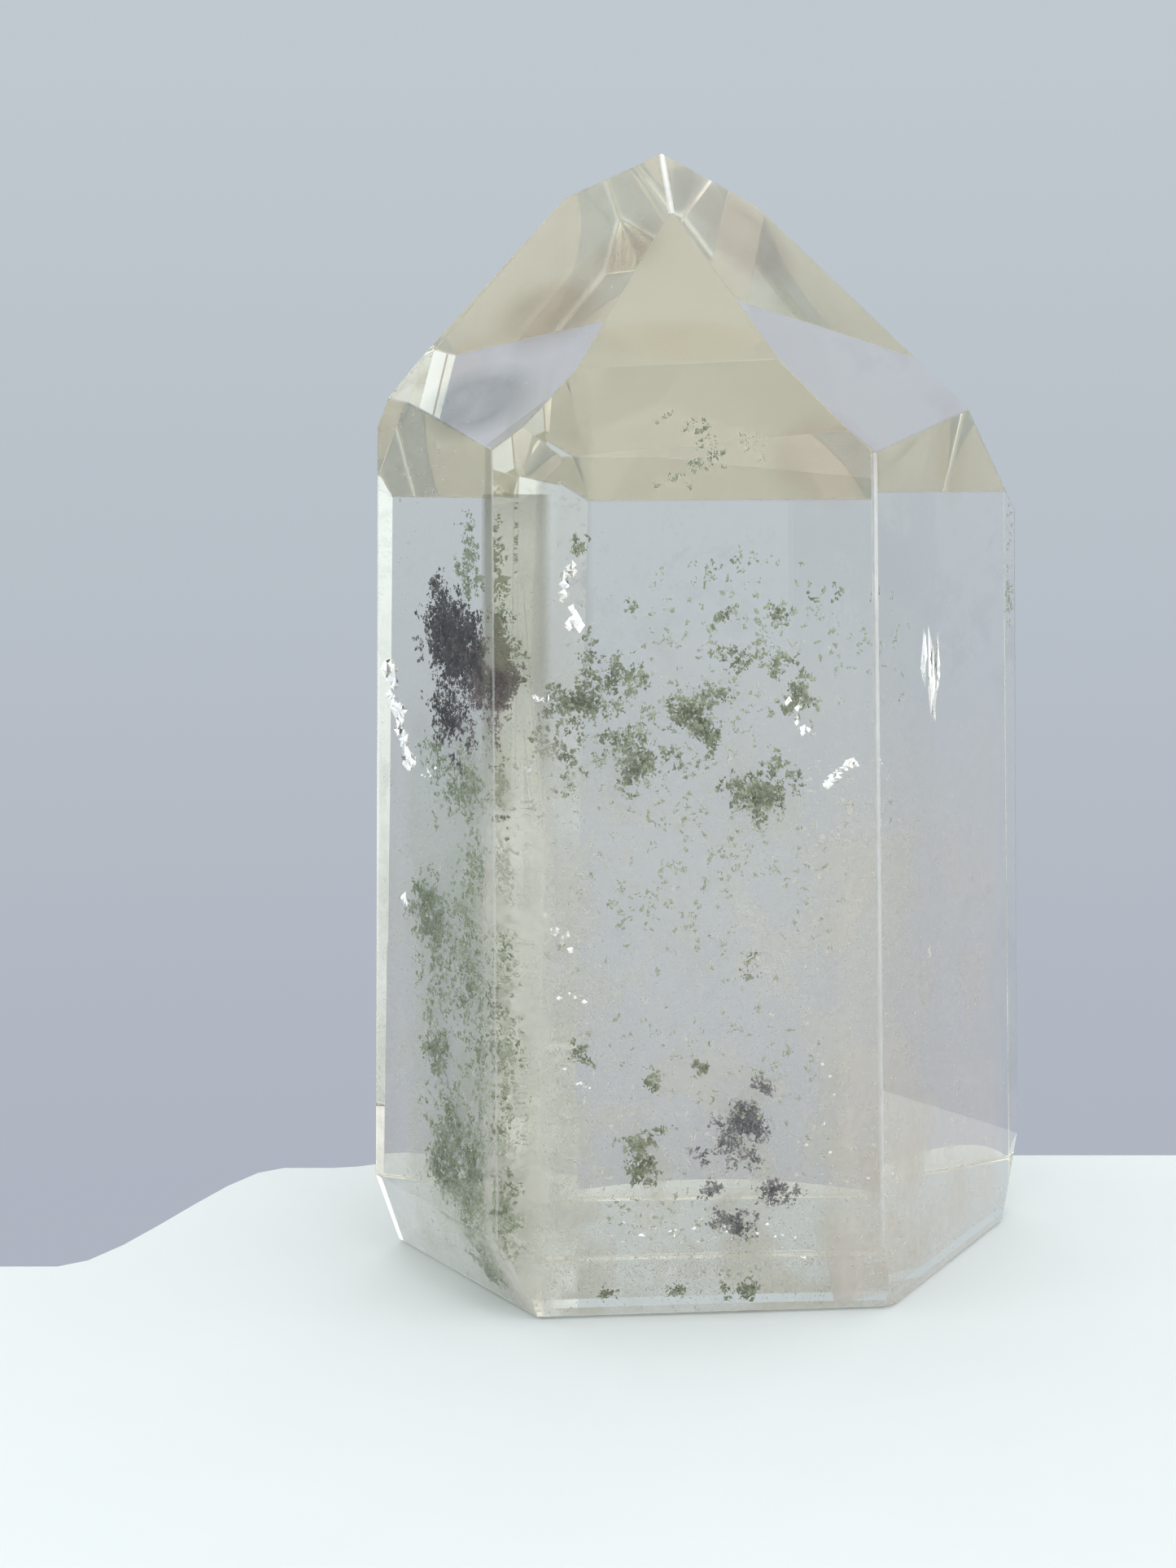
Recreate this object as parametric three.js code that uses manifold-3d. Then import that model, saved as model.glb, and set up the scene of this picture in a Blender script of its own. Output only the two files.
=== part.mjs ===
// A quartz crystal point with a smoky tint: one natural crystal, cut and polished flat, with a slanting
// tip and a foot sawn level so that it stands up by itself.
// Units are millimetres and degrees. +Z is up, -Y is the front, and the origin lies on the floor under
// the middle of the crystal.

import * as THREE from "three";
import { mergeVertices } from "three/addons/utils/BufferGeometryUtils.js";
import Module from "manifold-3d";

const wasm = await Module();
wasm.setup();

// Driving dimensions.
const HEIGHT = 80; // from the floor to the tip
const TIP_X = -3.8; // the tip stands left of the middle
const TIP_Y = -8.4; // and in front of it
const EDGE_RADIUS = 0.3; // how much polishing has softened the edges
const EDGE_FLATS = 2; // narrow flats that stand for one softened edge
const CREASE = 10; // faces that meet at a smaller angle than this keep a plain crease
const BLANK = 200; // side of the rough block, larger than the crystal every way
const TINY = 1e-6; // rounding allowance when positions are compared

// The faces of the column. turn is the direction that a face looks in, from +X towards +Y. lean is how
// far it tips back from upright. foot is how far out from the origin it would meet the floor.
const COLUMN_FACES = [
  { name: "front", turn: -85, lean: 0.5, foot: 21 },
  { name: "front shoulder", turn: -86, lean: 11.5, foot: 32.8 },
  { name: "right", turn: -29.5, lean: 1.5, foot: 20.1 },
  { name: "back right", turn: 28.5, lean: 1.5, foot: 23.3 },
  { name: "back", turn: 93, lean: 0.5, foot: 21.5 },
  { name: "back left corner", turn: 130.5, lean: 1, foot: 23.15 },
  { name: "back left", turn: 157.5, lean: 1, foot: 19.9 },
  { name: "left", turn: -146.5, lean: 0.5, foot: 24.9 },
  { name: "narrow front left", turn: -94.5, lean: 1, foot: 23.3 },
];

// The bevels round the foot tip the other way, so that they overhang.
const FOOT_BEVELS = [
  { name: "front bevel", turn: -85, lean: -15.5, foot: 19.6 },
  { name: "front right bevel", turn: -57, lean: -20, foot: 22.1 },
  { name: "left bevel", turn: -147, lean: -27, foot: 21.7 },
  { name: "right bevel", turn: 0, lean: -13.5, foot: 23.1 },
];

// The faces of the tip. over is how far above the tip a face passes. Three faces meet at the tip.
const TIP_FACES = [
  { name: "tip left", turn: -133.5, lean: 40.5, over: 0 },
  { name: "tip right", turn: -37, lean: 41.5, over: 0 },
  { name: "tip back", turn: 93, lean: 49.5, over: 0 },
  { name: "tip front", turn: -87, lean: 29.5, over: 5.6 },
  { name: "tip back left", turn: 152, lean: 33, over: 8.4 },
  { name: "tip back right", turn: 22, lean: 44.5, over: 4.6 },
  { name: "left corner", turn: -143, lean: 37.5, over: 3.9 },
];

const CRYSTAL_COLOUR = 0xcfcdc0; // clear, with a faint warm grey tint
const CRYSTAL_ROUGHNESS = 0.05; // polished
const CRYSTAL_OPACITY = 0.35; // see-through

// The direction that a face looks in.
function outward(face) {
  const turn = THREE.MathUtils.degToRad(face.turn);
  const lean = THREE.MathUtils.degToRad(face.lean);
  return new THREE.Vector3(
    Math.cos(turn) * Math.cos(lean),
    Math.sin(turn) * Math.cos(lean),
    Math.sin(lean),
  );
}

// The plane of a face that is set out from its foot.
function planeFromFoot(face) {
  const turn = THREE.MathUtils.degToRad(face.turn);
  const foot = new THREE.Vector3(Math.cos(turn), Math.sin(turn), 0).multiplyScalar(face.foot);
  return new THREE.Plane().setFromNormalAndCoplanarPoint(outward(face), foot);
}

// The plane of a face that is set out from the tip.
function planeFromTip(face) {
  const above = new THREE.Vector3(TIP_X, TIP_Y, HEIGHT + face.over);
  return new THREE.Plane().setFromNormalAndCoplanarPoint(outward(face), above);
}

// The point where three planes meet, or null where two of them are nearly parallel.
function meetingPoint(a, b, c) {
  const bc = new THREE.Vector3().crossVectors(b.normal, c.normal);
  const ca = new THREE.Vector3().crossVectors(c.normal, a.normal);
  const ab = new THREE.Vector3().crossVectors(a.normal, b.normal);
  const volume = a.normal.dot(bc);
  if (Math.abs(volume) < TINY) return null;
  return bc
    .multiplyScalar(-a.constant)
    .addScaledVector(ca, -b.constant)
    .addScaledVector(ab, -c.constant)
    .divideScalar(volume);
}

// One corner of the crystal that both planes share, or null where they don't meet in an edge.
function sharedCorner(a, b, planes) {
  for (const c of planes) {
    if (c === a || c === b) continue;
    const corner = meetingPoint(a, b, c);
    if (corner && planes.every((plane) => plane.distanceToPoint(corner) < TINY)) return corner;
  }
  return null;
}

// The planes of the narrow flats along the edge between two faces. They touch a rod of EDGE_RADIUS that
// lies inside the edge and touches both faces.
function edgeFlats(a, b, planes) {
  const bend = a.normal.angleTo(b.normal);
  const corner = sharedCorner(a, b, planes);
  if (!corner || bend < THREE.MathUtils.degToRad(CREASE)) return [];
  const inwards = EDGE_RADIUS / (1 + a.normal.dot(b.normal));
  const rod = corner
    .clone()
    .addScaledVector(a.normal, -inwards)
    .addScaledVector(b.normal, -inwards);
  const flats = [];
  for (let i = 1; i <= EDGE_FLATS; i++) {
    const share = i / (EDGE_FLATS + 1);
    const normal = a.normal
      .clone()
      .multiplyScalar(Math.sin((1 - share) * bend))
      .addScaledVector(b.normal, Math.sin(share * bend))
      .normalize();
    const touch = rod.clone().addScaledVector(normal, EDGE_RADIUS);
    flats.push(new THREE.Plane().setFromNormalAndCoplanarPoint(normal, touch));
  }
  return flats;
}

// Every softened edge of the crystal.
function allEdgeFlats(planes) {
  return planes.flatMap((a, i) => planes.slice(i + 1).flatMap((b) => edgeFlats(a, b, planes)));
}

// The solid of a closed geometry.
function solidOf(geometry) {
  const bare = geometry.clone();
  bare.deleteAttribute("normal");
  bare.deleteAttribute("uv");
  const merged = mergeVertices(bare);
  return new wasm.Manifold(
    new wasm.Mesh({
      numProp: 3,
      vertProperties: merged.attributes.position.array,
      triVerts: new Uint32Array(merged.index.array),
    }),
  );
}

// The geometry of a solid.
function geometryOf(solid) {
  const mesh = solid.getMesh();
  const geometry = new THREE.BufferGeometry();
  geometry.setAttribute("position", new THREE.BufferAttribute(mesh.vertProperties, mesh.numProp));
  geometry.setIndex(new THREE.BufferAttribute(mesh.triVerts, 1));
  const facets = geometry.toNonIndexed();
  facets.computeVertexNormals();
  return facets;
}

// A block with one side on a plane, which takes away all that lies outside the plane.
function cutter(plane) {
  const box = new THREE.BoxGeometry(BLANK, BLANK, BLANK);
  const along = new THREE.Vector3(0, 0, 1);
  box.applyQuaternion(new THREE.Quaternion().setFromUnitVectors(along, plane.normal));
  const middle = plane.normal.clone().multiplyScalar(BLANK / 2 - plane.constant);
  return box.translate(middle.x, middle.y, middle.z);
}

// The crystal, cut from a block that stands on the floor.
function crystalGeometry() {
  const floor = new THREE.Plane(new THREE.Vector3(0, 0, -1), 0);
  const faces = [
    ...COLUMN_FACES.map(planeFromFoot),
    ...FOOT_BEVELS.map(planeFromFoot),
    ...TIP_FACES.map(planeFromTip),
  ];
  const blank = new THREE.BoxGeometry(BLANK, BLANK, BLANK).translate(0, 0, BLANK / 2);
  let crystal = solidOf(blank);
  for (const plane of [...faces, ...allEdgeFlats([...faces, floor])]) {
    crystal = crystal.subtract(solidOf(cutter(plane)));
  }
  return geometryOf(crystal);
}

// The crystal as a mesh whose middle stands over the origin.
function quartzPoint() {
  const geometry = crystalGeometry();
  geometry.computeBoundingBox();
  const middle = geometry.boundingBox.getCenter(new THREE.Vector3());
  const material = new THREE.MeshStandardMaterial({
    color: CRYSTAL_COLOUR,
    roughness: CRYSTAL_ROUGHNESS,
    metalness: 0,
    transparent: true,
    opacity: CRYSTAL_OPACITY,
  });
  const mesh = new THREE.Mesh(geometry, material);
  mesh.name = "quartz_point";
  mesh.position.set(-middle.x, -middle.y, 0);
  return mesh;
}

const group = new THREE.Group();
group.add(quartzPoint());

export default group;
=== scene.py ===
import math

import bmesh
import bpy
import numpy as np
from bpy.props import FloatProperty, FloatVectorProperty, IntProperty, PointerProperty
from mathutils import Euler, Matrix, Vector, noise


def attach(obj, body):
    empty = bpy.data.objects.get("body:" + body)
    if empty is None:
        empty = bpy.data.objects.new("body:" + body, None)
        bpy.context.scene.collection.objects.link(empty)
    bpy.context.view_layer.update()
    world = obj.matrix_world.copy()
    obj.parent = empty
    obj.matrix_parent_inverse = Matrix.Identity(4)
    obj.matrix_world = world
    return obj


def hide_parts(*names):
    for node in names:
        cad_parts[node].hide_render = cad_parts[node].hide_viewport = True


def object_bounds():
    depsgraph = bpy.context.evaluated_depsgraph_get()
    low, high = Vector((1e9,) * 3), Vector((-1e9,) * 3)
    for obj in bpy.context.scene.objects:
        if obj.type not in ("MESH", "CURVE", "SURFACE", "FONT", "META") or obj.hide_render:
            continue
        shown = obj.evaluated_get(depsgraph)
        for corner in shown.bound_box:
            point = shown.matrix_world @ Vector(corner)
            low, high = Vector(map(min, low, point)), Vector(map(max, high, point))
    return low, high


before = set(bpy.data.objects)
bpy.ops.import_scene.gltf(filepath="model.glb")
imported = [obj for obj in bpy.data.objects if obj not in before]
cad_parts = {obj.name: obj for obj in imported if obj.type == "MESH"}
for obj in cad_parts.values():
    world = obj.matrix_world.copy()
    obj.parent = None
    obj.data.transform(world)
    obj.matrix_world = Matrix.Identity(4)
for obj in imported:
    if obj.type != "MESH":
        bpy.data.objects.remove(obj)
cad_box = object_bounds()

bl_info = {
    "name": "Smoky quartz point",
    "version": (1, 0, 0),
    "blender": (4, 5, 0),
    "location": "View3D > Sidebar > Quartz",
    "description": "Builds a polished quartz point with its moss, veils and bright cracks on a white cloth",
    "category": "Add Mesh",
}

# The script works in metres, and MM turns a length in millimetres into metres.
MM = 0.001

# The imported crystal's lowest and highest corners give the size of what stands round it.
LOW, HIGH = cad_box
HEIGHT = HIGH.z - LOW.z

# The cloth's threads hold the crystal a little above the cloth, so that light passes under the foot.
CLOTH_GAP = 0.15 * MM

# The middles of grains and flakes and the rims of sheets stay this far inside the crystal's faces.
SKIN = 0.35 * MM

# The corners of a large flake may come this near to the faces.
PRESSED_DEPTH = 0.1 * MM

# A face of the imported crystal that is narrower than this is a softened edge.
STRIP_WIDTH = 0.5 * MM

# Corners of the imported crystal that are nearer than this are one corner, and faces that meet at a smaller
# angle than this are one facet.
SAME_CORNER = 0.002 * MM
SAME_FACET = math.radians(0.3)

# The extra mist near the foot starts below the first height and is full below the second.
FOOT_HAZE_TOP = 17 * MM
FOOT_HAZE_FULL = 6 * MM

# How fine the cloudy patterns are, in features per metre. Two of them pattern the painted highlights along
# the edges, and one the painted shade tints near the tip.
GRAIN_COLOUR_SCALE = 900
GRAIN_GLOSS_SCALE = 2500
GRAIN_RELIEF_SCALE = 6000
FLAKE_DUST_SCALE = 2000
HIGHLIGHT_BREAK_SCALE = 260
HIGHLIGHT_TINT_SCALE = 900
PAINTED_TINT_SCALE = 160
EDGE_WEAR_SCALE = 300
RIPPLE_SCALE = 180
CLOTH_TINT_SCALE = 30
CLOTH_WAVE_SCALE = 120

# A cloudy pattern's values crowd round 0.5. One of these ranges of it, spread over 0 to 1, gives clouds
# with soft, clear or sharp rims, or patches with small gaps for worn edges, breaks in the painted edge
# highlights and the painted shade tints.
SOFT = (0.3, 0.7)
CLEAR = (0.35, 0.65)
SHARP = (0.38, 0.62)
WEAR_AND_BREAKS = (0.3, 0.6)
TINTED = (0.35, 0.6)


# Shader helpers

def new_material(name):
    """An empty node material with a Principled shader, and its object coordinates."""
    material = bpy.data.materials.new(name)
    material.use_nodes = True
    tree = material.node_tree
    tree.nodes.clear()
    output = tree.nodes.new("ShaderNodeOutputMaterial")
    shader = tree.nodes.new("ShaderNodeBsdfPrincipled")
    tree.links.new(shader.outputs["BSDF"], output.inputs["Surface"])
    coordinates = tree.nodes.new("ShaderNodeTexCoord")
    return material, tree, shader, output, coordinates


def noise_mask(tree, where, scale, detail=3.0):
    """A cloudy mask from 0 to 1, with a feature every 1/scale metres."""
    cloud = tree.nodes.new("ShaderNodeTexNoise")
    cloud.inputs["Scale"].default_value = scale
    cloud.inputs["Detail"].default_value = detail
    tree.links.new(where, cloud.inputs["Vector"])
    return cloud.outputs["Fac"]


def spread(tree, mask, low, high, to_low=0.0, to_high=1.0):
    """A mask stretched from low..high to to_low..to_high, clamped."""
    map_range = tree.nodes.new("ShaderNodeMapRange")
    map_range.inputs["From Min"].default_value = low
    map_range.inputs["From Max"].default_value = high
    map_range.inputs["To Min"].default_value = to_low
    map_range.inputs["To Max"].default_value = to_high
    tree.links.new(mask, map_range.inputs["Value"])
    return map_range.outputs["Result"]


def feed(tree, value, socket):
    """Link a socket to another one, or set it to a colour or number."""
    if isinstance(value, bpy.types.NodeSocket):
        tree.links.new(value, socket)
    elif isinstance(value, tuple) and len(value) == 3 and socket.type == "RGBA":
        socket.default_value = (*value, 1)
    else:
        socket.default_value = value


def calculate(tree, operation, first, second):
    """The result of one sum on two numbers or masks."""
    node = tree.nodes.new("ShaderNodeMath")
    node.operation = operation
    feed(tree, first, node.inputs[0])
    feed(tree, second, node.inputs[1])
    return node.outputs["Value"]


def vector_result(tree, operation, first, second=None):
    """The outputs of one sum on one or two vectors."""
    node = tree.nodes.new("ShaderNodeVectorMath")
    node.operation = operation
    feed(tree, first, node.inputs[0])
    if second is not None:
        feed(tree, second, node.inputs[1])
    return node.outputs


def split_axes(tree, vector):
    """The X, Y and Z of a vector."""
    split = tree.nodes.new("ShaderNodeSeparateXYZ")
    tree.links.new(vector, split.inputs["Vector"])
    return split.outputs


def mix_colours(tree, share, low, high):
    """The low colour where share is 0 and the high colour where it is 1."""
    mix = tree.nodes.new("ShaderNodeMix")
    mix.data_type = "RGBA"
    feed(tree, share, mix.inputs["Factor"])
    feed(tree, low, mix.inputs["A"])
    feed(tree, high, mix.inputs["B"])
    return mix.outputs["Result"]


def bump(tree, shader, height, distance):
    """Small relief on the surface, distance metres deep."""
    node = tree.nodes.new("ShaderNodeBump")
    node.inputs["Distance"].default_value = distance
    tree.links.new(height, node.inputs["Height"])
    tree.links.new(node.outputs["Normal"], shader.inputs["Normal"])


def new_group(name, inputs, outputs):
    """An empty shader node group with named sockets. Each entry is a name and a kind of socket."""
    tree = bpy.data.node_groups.new(name, "ShaderNodeTree")
    for socket_name, kind in inputs:
        tree.interface.new_socket(socket_name, in_out="INPUT", socket_type=kind)
    for socket_name, kind in outputs:
        tree.interface.new_socket(socket_name, in_out="OUTPUT", socket_type=kind)
    return tree, tree.nodes.new("NodeGroupInput").outputs, tree.nodes.new("NodeGroupOutput").inputs


def use_group(tree, group, **values):
    """A group placed in a node tree, with its inputs fed by name."""
    node = tree.nodes.new("ShaderNodeGroup")
    node.node_tree = group
    for name, value in values.items():
        feed(tree, value, node.inputs[name])
    return node.outputs


GRAIN_ROUGHNESS = (0.45, 0.9)


def mineral_group():
    """Colour, roughness and relief of dull mineral grains. The colour drifts from fleck to fleck."""
    tree, given, wanted = new_group(
        "Mineral",
        [("Place", "NodeSocketVector"), ("Dark", "NodeSocketColor"), ("Pale", "NodeSocketColor")],
        [("Colour", "NodeSocketColor"), ("Roughness", "NodeSocketFloat"), ("Relief", "NodeSocketFloat")],
    )
    share = spread(tree, noise_mask(tree, given["Place"], GRAIN_COLOUR_SCALE, detail=2), *CLEAR)
    tree.links.new(mix_colours(tree, share, given["Dark"], given["Pale"]), wanted["Colour"])
    sheen = noise_mask(tree, given["Place"], GRAIN_GLOSS_SCALE, detail=2)
    gloss = spread(tree, sheen, *SOFT, *GRAIN_ROUGHNESS)
    tree.links.new(gloss, wanted["Roughness"])
    tree.links.new(noise_mask(tree, given["Place"], GRAIN_RELIEF_SCALE), wanted["Relief"])
    return tree


BLOB_RIM = (1.0, 0.55)  # where a blob starts and where it is full, as shares of its reach


def blob_group():
    """A soft mask that is 1 in the middle of a blob and 0 outside it."""
    tree, given, wanted = new_group(
        "Blob",
        [("Place", "NodeSocketVector"), ("Middle", "NodeSocketVector"), ("Reach", "NodeSocketVector")],
        [("Mask", "NodeSocketFloat")],
    )
    offset = vector_result(tree, "SUBTRACT", given["Place"], given["Middle"])["Vector"]
    share = vector_result(tree, "DIVIDE", offset, given["Reach"])["Vector"]
    distance = vector_result(tree, "LENGTH", share)["Value"]
    tree.links.new(spread(tree, distance, *BLOB_RIM), wanted["Mask"])
    return tree


# Where a veil starts and where it is full, measured from its middle as shares of its width and height.
VEIL_SIDES = (0.5, 0.36)
VEIL_ENDS = (0.5, 0.3)


def veil_group():
    """How much of a veil covers what is behind it. It is cloudy and fades out towards the veil's rim."""
    tree, given, wanted = new_group(
        "Veil",
        [("Place", "NodeSocketVector"), ("Rim", "NodeSocketVector"), ("Scale", "NodeSocketFloat"),
         ("Floor", "NodeSocketFloat"), ("Cover", "NodeSocketFloat"), ("Foot", "NodeSocketFloat")],
        [("Mask", "NodeSocketFloat")],
    )
    cloud = tree.nodes.new("ShaderNodeTexNoise")
    cloud.inputs["Detail"].default_value = 3
    tree.links.new(given["Place"], cloud.inputs["Vector"])
    tree.links.new(given["Scale"], cloud.inputs["Scale"])
    wisps = calculate(tree, "MAXIMUM", spread(tree, cloud.outputs["Fac"], *SHARP), given["Floor"])
    offset = vector_result(tree, "SUBTRACT", given["Rim"], (0.5, 0.5, 0))["Vector"]
    distance = split_axes(tree, vector_result(tree, "ABSOLUTE", offset)["Vector"])
    across = spread(tree, distance["X"], *VEIL_SIDES)
    along = spread(tree, distance["Y"], *VEIL_ENDS)
    fade = calculate(tree, "MULTIPLY", across, along)
    mask = calculate(tree, "MULTIPLY", wisps, fade)
    low = spread(tree, split_axes(tree, given["Place"])["Z"], FOOT_HAZE_TOP, FOOT_HAZE_FULL)
    cover = calculate(tree, "ADD", given["Cover"], calculate(tree, "MULTIPLY", low, given["Foot"]))
    tree.links.new(calculate(tree, "MULTIPLY", mask, cover), wanted["Mask"])
    return tree


GROUP_MAKERS = {"Mineral": mineral_group, "Blob": blob_group, "Veil": veil_group}


def shared_group(name):
    """A node group of this script, made the first time it is asked for."""
    return bpy.data.node_groups.get(name) or GROUP_MAKERS[name]()


# Mesh helpers

def link_object(name, data):
    """A new object in the scene, with a mesh, a light or a camera as its data."""
    thing = bpy.data.objects.new(name, data)
    bpy.context.scene.collection.objects.link(thing)
    return thing


def link_piece(name, mesh, material):
    """A finished piece of the object, riding on the crystal."""
    piece = link_object(name, mesh)
    mesh.materials.append(material)
    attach(piece, "root")
    return piece


def finished_mesh(name, shape):
    """The mesh of a shape. The shape is freed."""
    mesh = bpy.data.meshes.new(name)
    shape.to_mesh(mesh)
    shape.free()
    return mesh


def thicken(sheet, thickness, offset):
    """Close an open sheet by giving it a thickness. offset is -1 for all of it inwards and 0 for half."""
    modifier = sheet.modifiers.new("thickness", "SOLIDIFY")
    modifier.thickness = thickness
    modifier.offset = offset


def facet_shape():
    """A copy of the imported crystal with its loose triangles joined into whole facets."""
    shape = bmesh.new()
    shape.from_mesh(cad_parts["quartz_point"].data)
    bmesh.ops.remove_doubles(shape, verts=shape.verts, dist=SAME_CORNER)
    bmesh.ops.dissolve_limit(shape, angle_limit=SAME_FACET, verts=shape.verts, edges=shape.edges)
    return shape


def is_strip(face):
    """Whether a face is one of the narrow flats that soften an edge."""
    longest = max(edge.calc_length() for edge in face.edges)
    return face.calc_area() < STRIP_WIDTH * longest


def crystal_walls():
    """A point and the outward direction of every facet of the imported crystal."""
    shape = facet_shape()
    walls = [
        (face.calc_center_median(), face.normal.copy())
        for face in shape.faces if not is_strip(face)
    ]
    shape.free()
    return walls


def inside(places, walls):
    """The places that lie in the crystal, clear of its walls."""
    keep = np.ones(len(places), bool)
    for middle, normal in walls:
        keep &= (places - np.array(middle)) @ np.array(normal) < -SKIN
    return places[keep]


# Every fleck is a chain of crumbs. A crumb is a rough ball of eight triangles, pressed narrow and flat.
# Each pair of values is the least and the most of a random draw.
CRUMB_SIDES = 4
CRUMB_HALVES = 2
CRUMB_CORNERS = (0.6, 1.25)  # how far a corner lies from the middle, as a share of the ball's radius
CRUMB_NARROWING = (0.55, 0.9)
CRUMB_FLATNESS = (0.35, 0.5, 0.7, 0.45)  # one for each form of crumb
CRUMB_STRETCH = (0.7, 1.4)
CRUMB_SIZE_DRIFT = -0.1  # logarithm of the usual size, as a share of the size asked for
CRUMB_SIZE_SPREAD = 0.4  # how much the logarithm of the size varies


def crumb_form(seed, flatness):
    """One small broken crumb about 1 unit across, as arrays of its points and triangles."""
    rng = np.random.default_rng(seed)
    shape = bmesh.new()
    bmesh.ops.create_uvsphere(shape, u_segments=CRUMB_SIDES, v_segments=CRUMB_HALVES, radius=0.5)
    for vertex in shape.verts:
        vertex.co *= rng.uniform(*CRUMB_CORNERS)
    bmesh.ops.scale(shape, verts=shape.verts, vec=(1, rng.uniform(*CRUMB_NARROWING), flatness))
    points = np.array([vertex.co[:] for vertex in shape.verts])
    triangles = np.array([[vertex.index for vertex in face.verts] for face in shape.faces])
    shape.free()
    return points, triangles


def joined_copies(name, forms, places, sizes, turns, stretches):
    """One mesh that joins a copy of a form at each place, with its own size, turn and stretch."""
    all_points = []
    all_triangles = []
    count = 0
    for i, (place, size, turn, stretch) in enumerate(zip(places, sizes, turns, stretches)):
        points, triangles = forms[i % len(forms)]
        rotation = np.array(Euler(turn).to_matrix())
        all_points.append((points * stretch * size) @ rotation.T + place)
        all_triangles.append(triangles + count)
        count += len(points)
    mesh = bpy.data.meshes.new(name)
    mesh.from_pydata(np.concatenate(all_points), [], np.concatenate(all_triangles))
    mesh.update()
    return mesh


# Flecks. Every place is written in millimetres in the crystal's own frame.

def patch(at, reach, flecks, crumbs=7):
    """A patch of flecks scattered round a middle point, as far along each axis as its reach says. Each
    fleck is a short chain of crumbs."""
    return {"at": at, "reach": reach, "flecks": flecks, "crumbs": crumbs}


# Moss that hangs behind the front face, from the top down.
FRONT_MOSS = [
    patch(at=(-1.2, -15, 60.2), reach=(5.5, 2.6, 5.5), flecks=29, crumbs=7),
    patch(at=(2.0, -14, 52.0), reach=(7.0, 2, 2.6), flecks=20, crumbs=8),
    patch(at=(-10.0, -13, 53.0), reach=(0.2, 0.3, 0.3), flecks=4, crumbs=12),
    patch(at=(-8.6, -13, 53.6), reach=(1.6, 1.3, 1), flecks=10, crumbs=5),
    patch(at=(-6.0, -13, 49.0), reach=(0.1, 0.1, 0.1), flecks=4, crumbs=9),
    patch(at=(3.3, -13, 48.5), reach=(1, 0.8, 0.7), flecks=14, crumbs=10),
    patch(at=(0.7, -13, 48.2), reach=(0.7, 0.7, 0.9), flecks=13, crumbs=8),
    patch(at=(4.2, -13, 45.2), reach=(0.8, 0.7, 0.8), flecks=17, crumbs=10),
    patch(at=(0.4, -13, 45.6), reach=(4.2, 1.3, 1), flecks=36),
    patch(at=(-9.4, -13, 44.5), reach=(0.9, 1.3, 4.2), flecks=47, crumbs=9),
    patch(at=(-10.0, -13, 42.2), reach=(1.3, 1.3, 1.7), flecks=62, crumbs=10),
    patch(at=(-11.6, -14, 39.8), reach=(1.7, 1.3, 3.4), flecks=62, crumbs=8),
    patch(at=(-6.7, -13, 43.8), reach=(1.6, 1.3, 2.5), flecks=73, crumbs=9),
    patch(at=(-5.9, -13, 39.4), reach=(3.1, 1.3, 1.8), flecks=69, crumbs=8),
    patch(at=(-5.5, -13, 38.0), reach=(1.3, 1, 1.3), flecks=65, crumbs=11),
    patch(at=(-1.6, -13, 42.0), reach=(2.3, 1.3, 2.1), flecks=101, crumbs=9),
    patch(at=(-0.8, -13, 40.6), reach=(1.3, 1, 1.2), flecks=55, crumbs=11),
    patch(at=(5.2, -13, 43.0), reach=(2, 1, 1.2), flecks=62, crumbs=9),
    patch(at=(2.9, -12.5, 36.3), reach=(2.5, 1.3, 1.6), flecks=117, crumbs=10),
    patch(at=(2.6, -12.5, 35.7), reach=(1.6, 1, 0.8), flecks=69, crumbs=12),
    patch(at=(2.4, -13, 23.6), reach=(0.4, 0.4, 0.9), flecks=10),
    patch(at=(-9.7, -14, 17.9), reach=(0.9, 0.6, 1.2), flecks=21),
    patch(at=(-4.6, -14, 15.8), reach=(0.6, 0.5, 0.5), flecks=15, crumbs=9),
    patch(at=(-1.3, -14, 16.9), reach=(0.5, 0.4, 0.4), flecks=13, crumbs=9),
    patch(at=(-5.2, -13, 11.2), reach=(1.8, 1, 1.0), flecks=48, crumbs=9),
    patch(at=(-5.3, -13, 9.6), reach=(0.8, 0.8, 1.2), flecks=50, crumbs=11),
    patch(at=(-7.6, -18, 1.4), reach=(0.7, 0.4, 0.3), flecks=13),
    patch(at=(-3.3, -18, 1.7), reach=(1.2, 0.4, 0.3), flecks=17),
    patch(at=(1.6, -18, 1.3), reach=(1.5, 0.4, 0.4), flecks=31, crumbs=9),
]

# Fine loose dust behind the front face.
FRONT_DUST = [
    patch(at=(-1.5, -14, 60.0), reach=(3.4, 2, 2.0), flecks=16, crumbs=4),
    patch(at=(1.5, -14, 47.0), reach=(9.0, 3, 6.0), flecks=150, crumbs=8),
    patch(at=(-4.0, -14, 39.0), reach=(9.0, 3, 5.5), flecks=190, crumbs=8),
    patch(at=(-3.0, -13, 28.0), reach=(10.0, 4, 8.0), flecks=150, crumbs=9),
    patch(at=(-1.0, -13, 17.0), reach=(10.0, 4, 7.0), flecks=110, crumbs=7),
    patch(at=(-1.0, -15, 5.5), reach=(9.0, 3, 2.6), flecks=60, crumbs=6),
    patch(at=(22.4, 2.9, 50.5), reach=(0.5, 0.9, 8.0), flecks=60, crumbs=6),
]

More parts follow.
